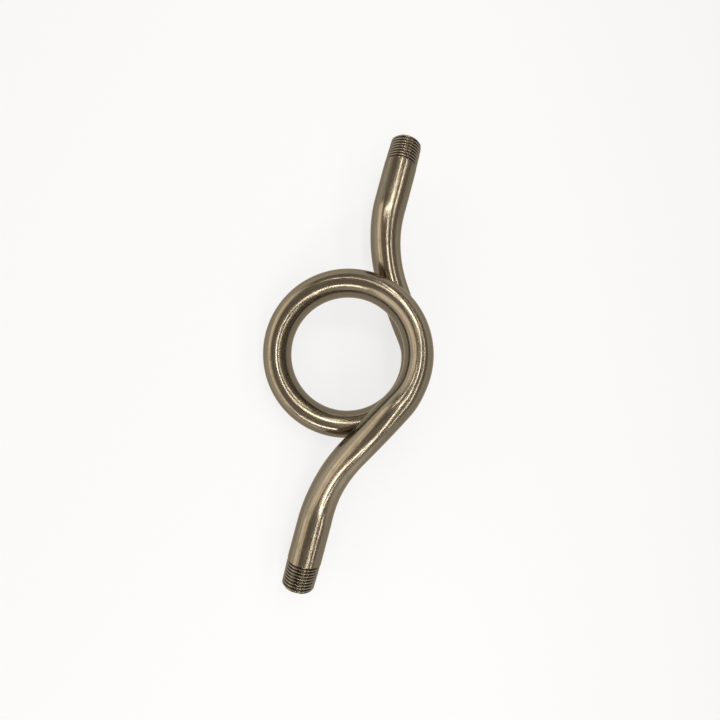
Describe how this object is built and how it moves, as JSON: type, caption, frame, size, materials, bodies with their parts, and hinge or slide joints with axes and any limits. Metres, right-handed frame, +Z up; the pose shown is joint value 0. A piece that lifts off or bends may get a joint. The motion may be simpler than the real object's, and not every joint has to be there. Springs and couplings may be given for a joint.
{
  "type": "pressure gauge siphon",
  "caption": "Coiled steel pressure gauge siphon: a pipe bent through a full loop between two straight legs with male pipe threads, lying on its side.",
  "frame": {"origin": "on the floor, under the middle of the siphon's bounding box", "axes": "+Z up as the siphon lies at rest, +Y along the legs towards the upper thread, +X towards the side of the coil where the pipe overlaps itself"},
  "size_m": [0.1082, 0.291, 0.0552],
  "materials": {
    "brushed_steel": "bright drawn stainless pipe, warm grey, with fine bending marks"
  },
  "bodies": {
    "root": {"siphon_tube": "brushed_steel"}
  },
  "joints": []
}
